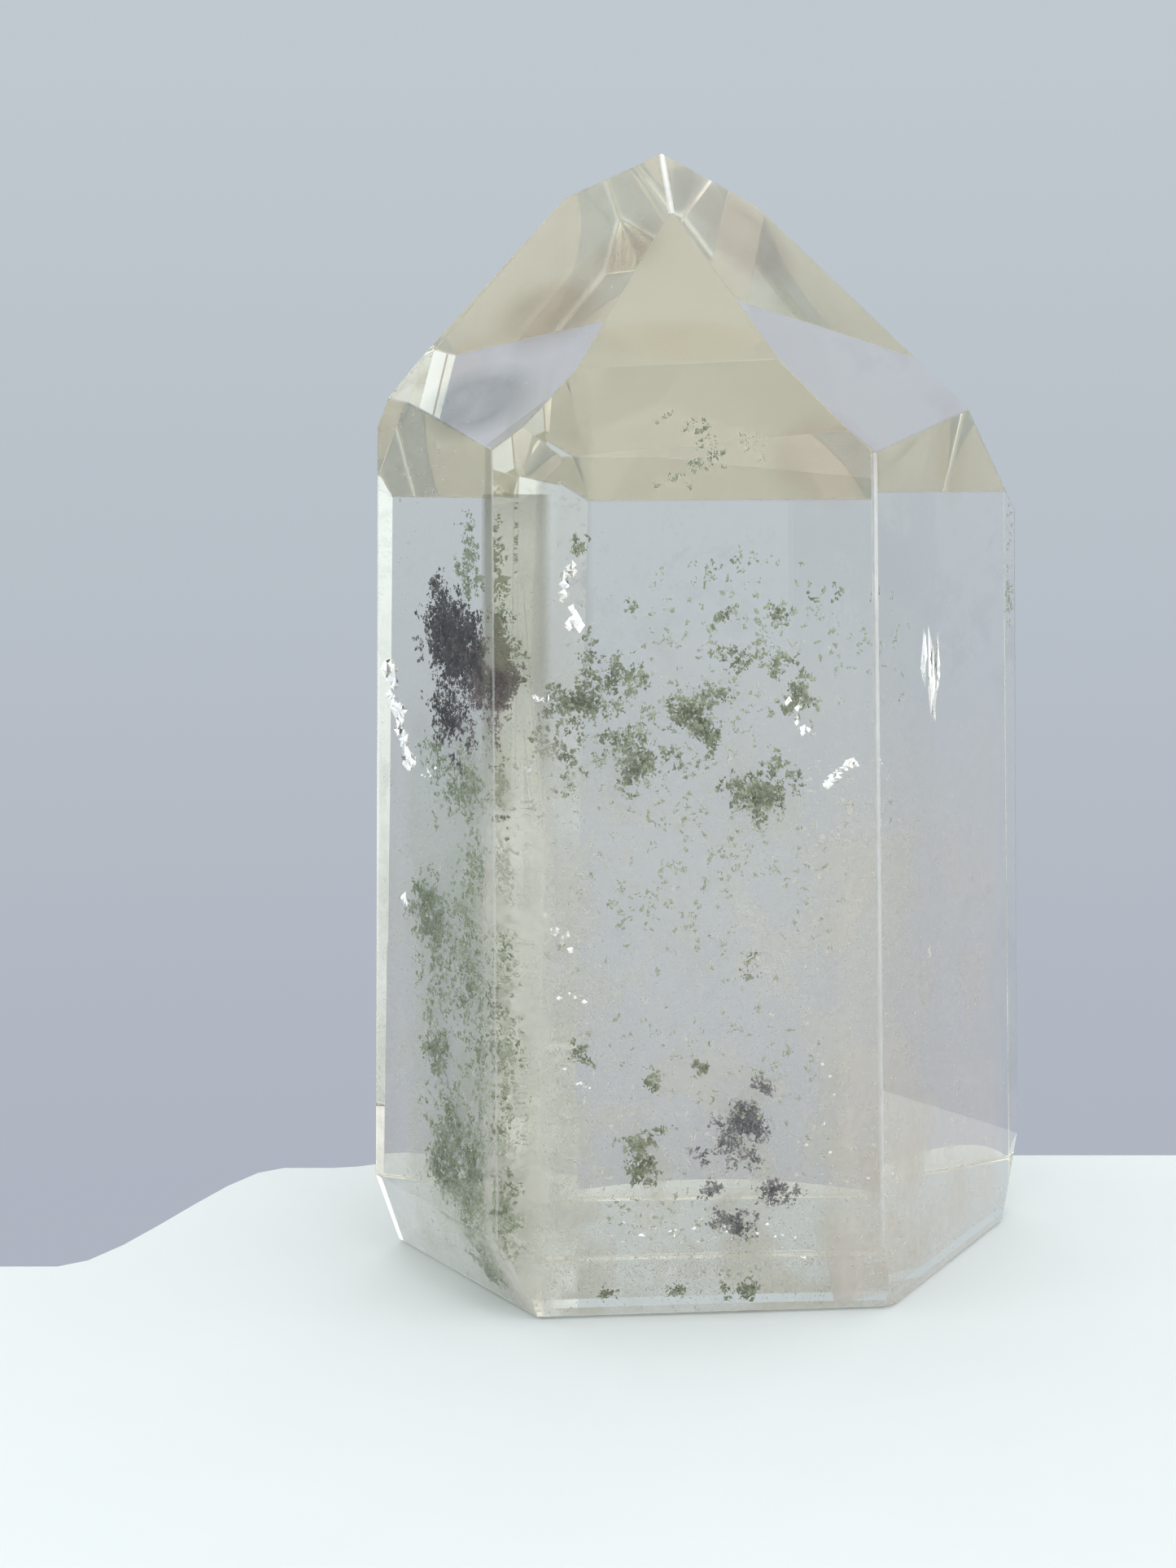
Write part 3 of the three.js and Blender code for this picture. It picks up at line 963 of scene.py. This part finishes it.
class StageSettings(bpy.types.PropertyGroup):
    """The cloth, the backdrop, the lights and the camera."""

    cloth: FloatVectorProperty(
        name="Cloth", description="Colour of the white cloth",
        subtype="COLOR", default=(0.68, 0.73, 0.755), min=0, max=1,
    )
    # Painted light: the paper is paler than the cloth, so that the crystal's own shadow under its foot, seen
    # up through the crystal, comes out bright.
    pad: FloatVectorProperty(
        name="Pad", description="Colour of the white paper of painted light under the foot",
        subtype="COLOR", default=(0.86, 0.86, 0.84), min=0, max=1,
    )
    backdrop_low: FloatVectorProperty(
        name="Low backdrop", description="Colour of the far background near the table",
        subtype="COLOR", default=(0.425, 0.457, 0.53), min=0, max=1,
    )
    backdrop_high: FloatVectorProperty(
        name="High backdrop", description="Colour of the far background higher up",
        subtype="COLOR", default=(0.52, 0.58, 0.62), min=0, max=1,
    )
    room: FloatVectorProperty(
        name="Room", description="Colour of the bright room in front of the crystal",
        subtype="COLOR", default=(1.08, 1.10, 1.07), min=0, max=4,
    )
    glow: FloatVectorProperty(
        name="Front glow", description="Colour of the bright windows behind the camera",
        subtype="COLOR", default=(1.9, 1.92, 1.88), min=0, max=4,
    )
    ceiling: FloatVectorProperty(
        name="Ceiling", description="Colour of the bright ceiling",
        subtype="COLOR", default=(1.42, 1.42, 1.38), min=0, max=4,
    )
    window_power: FloatProperty(
        name="Window power", description="Power of the large soft light, in watts",
        default=0.8, min=0,
    )
    camera_distance: FloatProperty(
        name="Camera distance", description="How far in front of the crystal's middle the camera stands",
        default=196.4 * MM, unit="LENGTH", min=0.05,
    )
    camera_height: FloatProperty(
        name="Camera height", description="Height of the camera above the cloth",
        default=66.0 * MM, unit="LENGTH",
    )
    camera_side: FloatProperty(
        name="Camera side step", description="How far left of the middle the camera stands",
        default=8.9 * MM, unit="LENGTH",
    )
    camera_pitch: FloatProperty(
        name="Camera pitch", description="How far the camera looks down",
        default=math.radians(9.18), subtype="ANGLE",
    )
    lens: FloatProperty(
        name="Lens", description="Focal length for a 36 mm long side, in millimetres",
        default=60.7, min=10,
    )


# Crystal

def crystal_mesh():
    """The crystal with flat facets and smooth softened edges, which are marked for the material."""
    shape = facet_shape()
    worn = shape.faces.layers.float.new("worn_edge")
    for face in shape.faces:
        face.smooth = True
        face[worn] = float(is_strip(face))
    for edge in shape.edges:
        edge.smooth = any(face[worn] for face in edge.link_faces)
    return finished_mesh("crystal", shape)


def painted_tint(at, reach, colour):
    """A faint tint of painted shade and painted refracted colour in the face of the crystal, in millimetres.
    """
    return {"at": at, "reach": reach, "colour": colour}


# Painted shade and painted refraction: faint brown, pink and grey tints in the faces near the tip stand in
# for the shaded cloth, the grains and the backdrop that the tip shows by refraction.
PAINTED_TINTS = [
    painted_tint(at=(-11.3, -13.4, 68.6), reach=(6, 6, 3.4), colour=(0.54, 0.46, 0.37)),
    painted_tint(at=(-6.3, -14.0, 73.2), reach=(3.0, 3.0, 3.2), colour=(0.62, 0.56, 0.50)),
    painted_tint(at=(-17.5, -13.0, 66.0), reach=(3, 4, 3), colour=(0.84, 0.78, 0.74)),
    painted_tint(at=(2.0, -9.2, 74.0), reach=(5, 6, 5), colour=(0.53, 0.44, 0.44)),
    painted_tint(at=(-1.0, -9.8, 77.0), reach=(3.2, 3.5, 3.0), colour=(0.66, 0.57, 0.56)),
    painted_tint(at=(-2.9, -18.8, 67.0), reach=(7, 3, 1.7), colour=(0.84, 0.78, 0.68)),
    painted_tint(at=(6.9, -20.0, 59.3), reach=(4.5, 3, 3.6), colour=(0.84, 0.72, 0.70)),
    painted_tint(at=(16.9, -7.9, 59.1), reach=(2.6, 4, 4), colour=(0.90, 0.80, 0.70)),
    painted_tint(at=(-16.0, -16.2, 62.9), reach=(6.5, 5, 3), colour=(0.30, 0.34, 0.34)),
]


PAINTED_TINT_LEFT = (0.6, 1.0)  # how much of a painted tint is left where it is thinnest and thickest
EDGE_WEAR_LEFT = (0.3, 1.0)  # how rough the softened edges are where they are worn least and most


def crystal_material(settings):
    """Clear quartz with a faint warm smoke, faint tints of painted shade near the tip, rubbed edges and the
    light ripple of polishing.
    """
    material, tree, shader, output, coordinates = new_material("smoky quartz")
    place = coordinates.outputs["Object"]
    tint = (1.0, 1.0, 1.0)
    # Each tint of painted shade fades in a cloudy pattern.
    wisps = spread(tree, noise_mask(tree, place, PAINTED_TINT_SCALE), *TINTED, *PAINTED_TINT_LEFT)
    for entry in PAINTED_TINTS:
        blob = use_group(
            tree, shared_group("Blob"), Place=place,
            Middle=tuple(part * MM for part in entry["at"]),
            Reach=tuple(part * MM for part in entry["reach"]),
        )
        share = calculate(tree, "MULTIPLY", blob["Mask"], wisps)
        tint = mix_colours(tree, share, tint, entry["colour"])
    tree.links.new(tint, shader.inputs["Base Color"])
    worn = tree.nodes.new("ShaderNodeAttribute")
    worn.attribute_name = "worn_edge"
    rubbed = spread(tree, noise_mask(tree, place, EDGE_WEAR_SCALE), *WEAR_AND_BREAKS, *EDGE_WEAR_LEFT)
    roughness = calculate(tree, "MULTIPLY", worn.outputs["Fac"], rubbed)
    roughness = calculate(tree, "MULTIPLY", roughness, settings.edge_wear)
    tree.links.new(roughness, shader.inputs["Roughness"])
    shader.inputs["Metallic"].default_value = 0
    shader.inputs["IOR"].default_value = settings.refraction
    shader.inputs["Transmission Weight"].default_value = 1
    bump(tree, shader, noise_mask(tree, place, RIPPLE_SCALE, detail=1), settings.ripple)
    smoke = tree.nodes.new("ShaderNodeVolumeAbsorption")
    smoke.inputs["Color"].default_value = (*settings.smoke, 1)
    smoke.inputs["Density"].default_value = settings.smoke_density
    tree.links.new(smoke.outputs["Volume"], output.inputs["Volume"])
    return material


LARGE_FACES_WIN = 100  # at full weight, a corner's normals follow its largest face


class QUARTZ_OT_crystal(bpy.types.Operator):
    """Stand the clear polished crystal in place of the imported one"""

    bl_idname = "quartz.crystal"
    bl_label = "Crystal"

    def execute(self, context):
        settings = context.scene.quartz_crystal
        piece = link_piece("crystal", crystal_mesh(), crystal_material(settings))
        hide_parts("quartz_point")
        normals = piece.modifiers.new("flat facets", "WEIGHTED_NORMAL")
        normals.mode = "FACE_AREA"
        normals.weight = LARGE_FACES_WIN
        normals.keep_sharp = True
        return {"FINISHED"}


# The crumbs of the front and the left moss are this much larger than the other crumbs.
FRONT_MOSS_SIZE = 1.25
LEFT_MOSS_SIZE = 1.2

# Each group of grains has its own seed, this far above the one in the settings. The moss has that one.
DARK_SEED = 1
CRACK_SEED = 2
MIST_SEED = 3


class QUARTZ_OT_moss(bpy.types.Operator):
    """Scatter the green moss and the fine dust inside the crystal"""

    bl_idname = "quartz.moss"
    bl_label = "Moss"

    def execute(self, context):
        settings = context.scene.quartz_grains
        rng = np.random.default_rng(settings.seed)
        material = grain_material("green moss", tuple(settings.moss_dark), tuple(settings.moss_pale))
        faded = grain_material("faded moss", tuple(settings.moss_faded), tuple(settings.dust))
        dusty = grain_material("pale moss", tuple(settings.moss_pale), tuple(settings.dust))
        size = settings.size
        add_grains("front_moss", FRONT_MOSS, False, material, FRONT_MOSS_SIZE * size, rng)
        add_grains("front_dust", FRONT_DUST, False, dusty, size, rng)
        add_grains("left_moss", LEFT_MOSS, True, faded, LEFT_MOSS_SIZE * size, rng)
        add_grains("narrow_moss", NARROW_MOSS, False, material, size, rng)
        return {"FINISHED"}


SPECK_TINTS = ((0.84, 0.85, 0.82), (0.97, 0.97, 0.95))


class QUARTZ_OT_mist(bpy.types.Operator):
    """Fill the crystal's lower half with white mist and white scales"""

    bl_idname = "quartz.mist"
    bl_label = "White mist"

    def execute(self, context):
        settings = context.scene.quartz_grains
        rng = np.random.default_rng(settings.seed + MIST_SEED)
        material = grain_material("white specks", *SPECK_TINTS)
        places = inside(crumb_places(MIST, settings.mist_size, rng) * MM, crystal_walls())
        places = wisps_of(places, settings.wisp_size, rng)
        for i, share in enumerate(np.array_split(places, MIST_SHARES)):
            mesh = grains_mesh(f"mist_{i + 1}", share, settings.mist_size, rng)
            link_piece(f"mist_{i + 1}", mesh, material)
        add_grains("white_scales", WHITE_SCALES, False, material, settings.size, rng)
        return {"FINISHED"}


# The dark grains. Each kind has a name, its patches, whether they lie on the left growth layer, and its
# dark and its pale colour.
DARK_KINDS = (
    ("dark_grains", DARK_GRAINS, True, (0.04, 0.036, 0.033), (0.20, 0.19, 0.18)),
    ("purple_grains", PURPLE_GRAINS, True, (0.18, 0.13, 0.13), (0.42, 0.34, 0.34)),
    ("narrow_grains", NARROW_GRAINS, False, (0.12, 0.09, 0.09), (0.36, 0.29, 0.29)),
    ("grey_grains", GREY_GRAINS, False, (0.20, 0.185, 0.21), (0.46, 0.44, 0.48)),
)


class QUARTZ_OT_dark_grains(bpy.types.Operator):
    """Scatter the dark, purple and grey grains inside the crystal"""

    bl_idname = "quartz.dark_grains"
    bl_label = "Dark grains"

    def execute(self, context):
        settings = context.scene.quartz_grains
        rng = np.random.default_rng(settings.seed + DARK_SEED)
        for name, patches, on_layer, dark, pale in DARK_KINDS:
            material = grain_material(name.replace("_", " "), dark, pale)
            add_grains(name, patches, on_layer, material, settings.size, rng)
        return {"FINISHED"}


class QUARTZ_OT_cracks(bpy.types.Operator):
    """Set the bright flakes of small cracks inside the crystal"""

    bl_idname = "quartz.cracks"
    bl_label = "Bright cracks"

    def execute(self, context):
        rng = np.random.default_rng(context.scene.quartz_grains.seed + CRACK_SEED)
        mesh = cracks_mesh("bright_cracks", rng, crystal_walls())
        link_piece("bright_cracks", mesh, crack_material())
        return {"FINISHED"}


class QUARTZ_OT_edge_highlights(bpy.types.Operator):
    """Lay the painted white highlights along the softened edges"""

    bl_idname = "quartz.rubbed_edges"
    bl_label = "Painted edge highlights"

    def execute(self, context):
        for i, entry in enumerate(EDGE_HIGHLIGHTS):
            name = f"rubbed_edge_{i + 1}"
            material = highlight_material(name.replace("_", " "), entry)
            piece = link_piece(name, highlight_strip_mesh(name, entry), material)
            thicken(piece, HIGHLIGHT_THICKNESS, -1)
        return {"FINISHED"}


class QUARTZ_OT_veils(bpy.types.Operator):
    """Hang the pale veils, the green mineral film and the olive films of painted shade inside the crystal"""

    bl_idname = "quartz.veils"
    bl_label = "Veils"

    def execute(self, context):
        settings = context.scene.quartz_veils
        tones = {name: tuple(getattr(settings, name)) for name in ("haze", "warm", "olive_shade", "green")}
        walls = crystal_walls()
        for entry in VEILS:
            piece = link_piece(entry["name"], veil_mesh(entry, walls), veil_material(entry, tones))
            thicken(piece, VEIL_THICKNESS, 0)
        return {"FINISHED"}


# Stage

CLOTH_WIDTH = 1200 * MM
CLOTH_DEPTH = 3000 * MM
CLOTH_CUTS = 600
CLOTH_BACK = 17.8  # how far behind the origin the cloth's back edge runs, in millimetres
# Towards the left the back edge comes forward twice. Each time it starts at an x, is done after a width
# and has then come forward by a distance, all in millimetres.
CLOTH_STEPS = ((-20, 10, 3.5), (-34, 14, 24))
CLOTH_RELIEF = 0.12 * MM
PAPER_RELIEF = 0.01 * MM
WHITE_PALEST = 1.02  # the palest parts of cloth and paper, as a share of their colour
WHITE_ROUGHNESS = 0.95
WHITE_GLOSS = 0.1
PAD_SIDES = 96
PAD_RADIUS = 19.4 * MM
WIDE_PAD_RADIUS = 25 * MM
PAD_MIDDLE = (0.3 * MM, 1.6 * MM)
PAD_STEP = 0.05 * MM  # the paper pads lie this far above and below the cloth


def ease(share):
    """0 below 0, 1 above 1 and a smooth rise between."""
    share = min(1.0, max(0.0, share))
    return share * share * (3 - 2 * share)


def cloth_back(x):
    """How far back the cloth reaches at x. Its left corner is drawn forward."""
    back = CLOTH_BACK
    for start, width, forward in CLOTH_STEPS:
        back -= forward * ease((start - x / MM) / width)
    return back * MM


def cloth_mesh():
    """A flat white cloth whose back edge runs close behind the crystal."""
    shape = bmesh.new()
    bmesh.ops.create_grid(shape, x_segments=CLOTH_CUTS, y_segments=1, size=0.5)
    for vertex in shape.verts:
        x = vertex.co.x * CLOTH_WIDTH
        forward = (0.5 - vertex.co.y) * CLOTH_DEPTH
        vertex.co = (x, cloth_back(x) - forward, -CLOTH_GAP - PAD_STEP)
    return finished_mesh("cloth", shape)


def pad_mesh(radius, height):
    """A flat round pad that lies hidden below the crystal."""
    shape = bmesh.new()
    middle = Matrix.Translation((*PAD_MIDDLE, height))
    bmesh.ops.create_circle(shape, cap_ends=True, segments=PAD_SIDES, radius=radius, matrix=middle)
    return finished_mesh("pad", shape)


def soft_white_material(name, colour, relief):
    """Soft white cotton or paper, whose waves are relief metres deep."""
    material, tree, shader, _, coordinates = new_material(name)
    place = coordinates.outputs["Object"]
    pale = tuple(min(1.0, WHITE_PALEST * part) for part in colour)
    share = spread(tree, noise_mask(tree, place, CLOTH_TINT_SCALE), *SOFT)
    tree.links.new(mix_colours(tree, share, colour, pale), shader.inputs["Base Color"])
    shader.inputs["Roughness"].default_value = WHITE_ROUGHNESS
    shader.inputs["Specular IOR Level"].default_value = WHITE_GLOSS
    bump(tree, shader, noise_mask(tree, place, CLOTH_WAVE_SCALE, detail=2), relief)
    return material


def stage_piece(name, mesh, material):
    """A thing of the stage, which isn't part of the object."""
    piece = link_object(name, mesh)
    mesh.materials.append(material)


# The zones of the world. Each pair says where a zone starts and where it is full, on the Z of a direction
# for height and on its Y for how far it looks to the back.
BACKDROP_HEIGHTS = (-0.3, 0.1)
ROOM_DEPTHS = (0.05, -0.25)
GLOW_DEPTHS = (-0.35, -0.7)
GLOW_HEIGHTS = (0.26, 0.1)
CEILING_HEIGHTS = (0.38, 0.65)


def make_world(settings):
    """A pale backdrop behind the crystal, a bright room in front of it and a bright ceiling."""
    world = bpy.data.worlds.new("soft studio")
    bpy.context.scene.world = world
    world.use_nodes = True
    tree = world.node_tree
    background = tree.nodes["Background"]
    coordinates = tree.nodes.new("ShaderNodeTexCoord")
    direction = split_axes(tree, coordinates.outputs["Generated"])
    high = spread(tree, direction["Z"], *BACKDROP_HEIGHTS)
    backdrop = mix_colours(tree, high, tuple(settings.backdrop_low), tuple(settings.backdrop_high))
    in_front = spread(tree, direction["Y"], *ROOM_DEPTHS)
    sides = mix_colours(tree, in_front, backdrop, tuple(settings.room))
    behind_camera = calculate(
        tree, "MULTIPLY",
        spread(tree, direction["Y"], *GLOW_DEPTHS), spread(tree, direction["Z"], *GLOW_HEIGHTS),
    )
    sides = mix_colours(tree, behind_camera, sides, tuple(settings.glow))
    overhead = spread(tree, direction["Z"], *CEILING_HEIGHTS)
    tree.links.new(mix_colours(tree, overhead, sides, tuple(settings.ceiling)), background.inputs["Color"])


WINDOW_PLACE = Vector((0.35, -0.55, 0.55))
WINDOW_SIDE = 0.5


def add_window(power):
    """A large soft light that looks at the middle of the crystal."""
    light = bpy.data.lights.new("window", "AREA")
    light.shape = "RECTANGLE"
    light.size = WINDOW_SIDE
    light.size_y = WINDOW_SIDE
    light.energy = power
    lamp = link_object("window", light)
    lamp.location = WINDOW_PLACE
    lamp.rotation_euler = (Vector((0, 0, HEIGHT / 2)) - WINDOW_PLACE).to_track_quat("-Z", "Y").to_euler()


CAMERA_NEAR = 10 * MM


def add_camera(settings):
    """The camera that sees the crystal as the photograph does."""
    camera = link_object("camera", bpy.data.cameras.new("camera"))
    camera.location = (-settings.camera_side, -settings.camera_distance, settings.camera_height)
    camera.rotation_euler = (math.pi / 2 - settings.camera_pitch, 0, 0)
    camera.data.lens = settings.lens
    camera.data.clip_start = CAMERA_NEAR
    bpy.context.scene.camera = camera


LIGHT_BOUNCES = 16  # enough for light that is mirrored to and fro inside the crystal
CLOTH_BOUNCES = 6
SHEETS_SEEN_THROUGH = 32
BRIGHTEST_GLINT = 8


def set_light_paths(scene):
    """How far the light is followed through the crystal and its veils."""
    scene.cycles.max_bounces = LIGHT_BOUNCES
    scene.cycles.transmission_bounces = LIGHT_BOUNCES
    scene.cycles.glossy_bounces = LIGHT_BOUNCES
    scene.cycles.diffuse_bounces = CLOTH_BOUNCES
    scene.cycles.transparent_max_bounces = SHEETS_SEEN_THROUGH
    scene.cycles.sample_clamp_indirect = BRIGHTEST_GLINT


class QUARTZ_OT_stage(bpy.types.Operator):
    """Lay the white cloth and set up the backdrop, the soft lights and the camera"""

    bl_idname = "quartz.stage"
    bl_label = "Stage"

    def execute(self, context):
        settings = context.scene.quartz_stage
        cotton = soft_white_material("white cotton", tuple(settings.cloth), CLOTH_RELIEF)
        stage_piece("cloth", cloth_mesh(), cotton)
        stage_piece("wide_pad", pad_mesh(WIDE_PAD_RADIUS, -CLOTH_GAP - 2 * PAD_STEP), cotton)
        # Painted light: the paler paper under the foot lifts the crystal's own shadow there.
        paper = soft_white_material("white paper of painted light", tuple(settings.pad), PAPER_RELIEF)
        stage_piece("pad", pad_mesh(PAD_RADIUS, -CLOTH_GAP), paper)
        make_world(settings)
        add_window(settings.window_power)
        add_camera(settings)
        context.scene.view_settings.view_transform = "Standard"
        set_light_paths(context.scene)
        return {"FINISHED"}


class QUARTZ_PT_sidebar(bpy.types.Panel):
    """Lists the steps that build the quartz point"""

    bl_label = "Smoky quartz point"
    bl_idname = "QUARTZ_PT_sidebar"
    bl_space_type = "VIEW_3D"
    bl_region_type = "UI"
    bl_category = "Quartz"

    def draw(self, context):
        for step in STEPS:
            self.layout.operator(step.bl_idname)


STEPS = (
    QUARTZ_OT_stage, QUARTZ_OT_crystal, QUARTZ_OT_moss, QUARTZ_OT_dark_grains, QUARTZ_OT_cracks,
    QUARTZ_OT_edge_highlights, QUARTZ_OT_veils, QUARTZ_OT_mist,
)
CLASSES = (CrystalSettings, GrainSettings, VeilSettings, StageSettings, *STEPS, QUARTZ_PT_sidebar)


def register():
    """Make the settings, the operators and the panel known."""
    for item in CLASSES:
        bpy.utils.register_class(item)
    bpy.types.Scene.quartz_crystal = PointerProperty(type=CrystalSettings)
    bpy.types.Scene.quartz_grains = PointerProperty(type=GrainSettings)
    bpy.types.Scene.quartz_veils = PointerProperty(type=VeilSettings)
    bpy.types.Scene.quartz_stage = PointerProperty(type=StageSettings)


def unregister():
    """Take away all that register made."""
    del bpy.types.Scene.quartz_stage
    del bpy.types.Scene.quartz_veils
    del bpy.types.Scene.quartz_grains
    del bpy.types.Scene.quartz_crystal
    for item in reversed(CLASSES):
        bpy.utils.unregister_class(item)


def main():
    """Build the quartz point on its stage."""
    register()
    bpy.ops.quartz.stage()
    bpy.ops.quartz.crystal()
    bpy.ops.quartz.moss()
    bpy.ops.quartz.dark_grains()
    bpy.ops.quartz.cracks()
    bpy.ops.quartz.rubbed_edges()
    bpy.ops.quartz.veils()
    bpy.ops.quartz.mist()


if __name__ == "__main__":
    main()
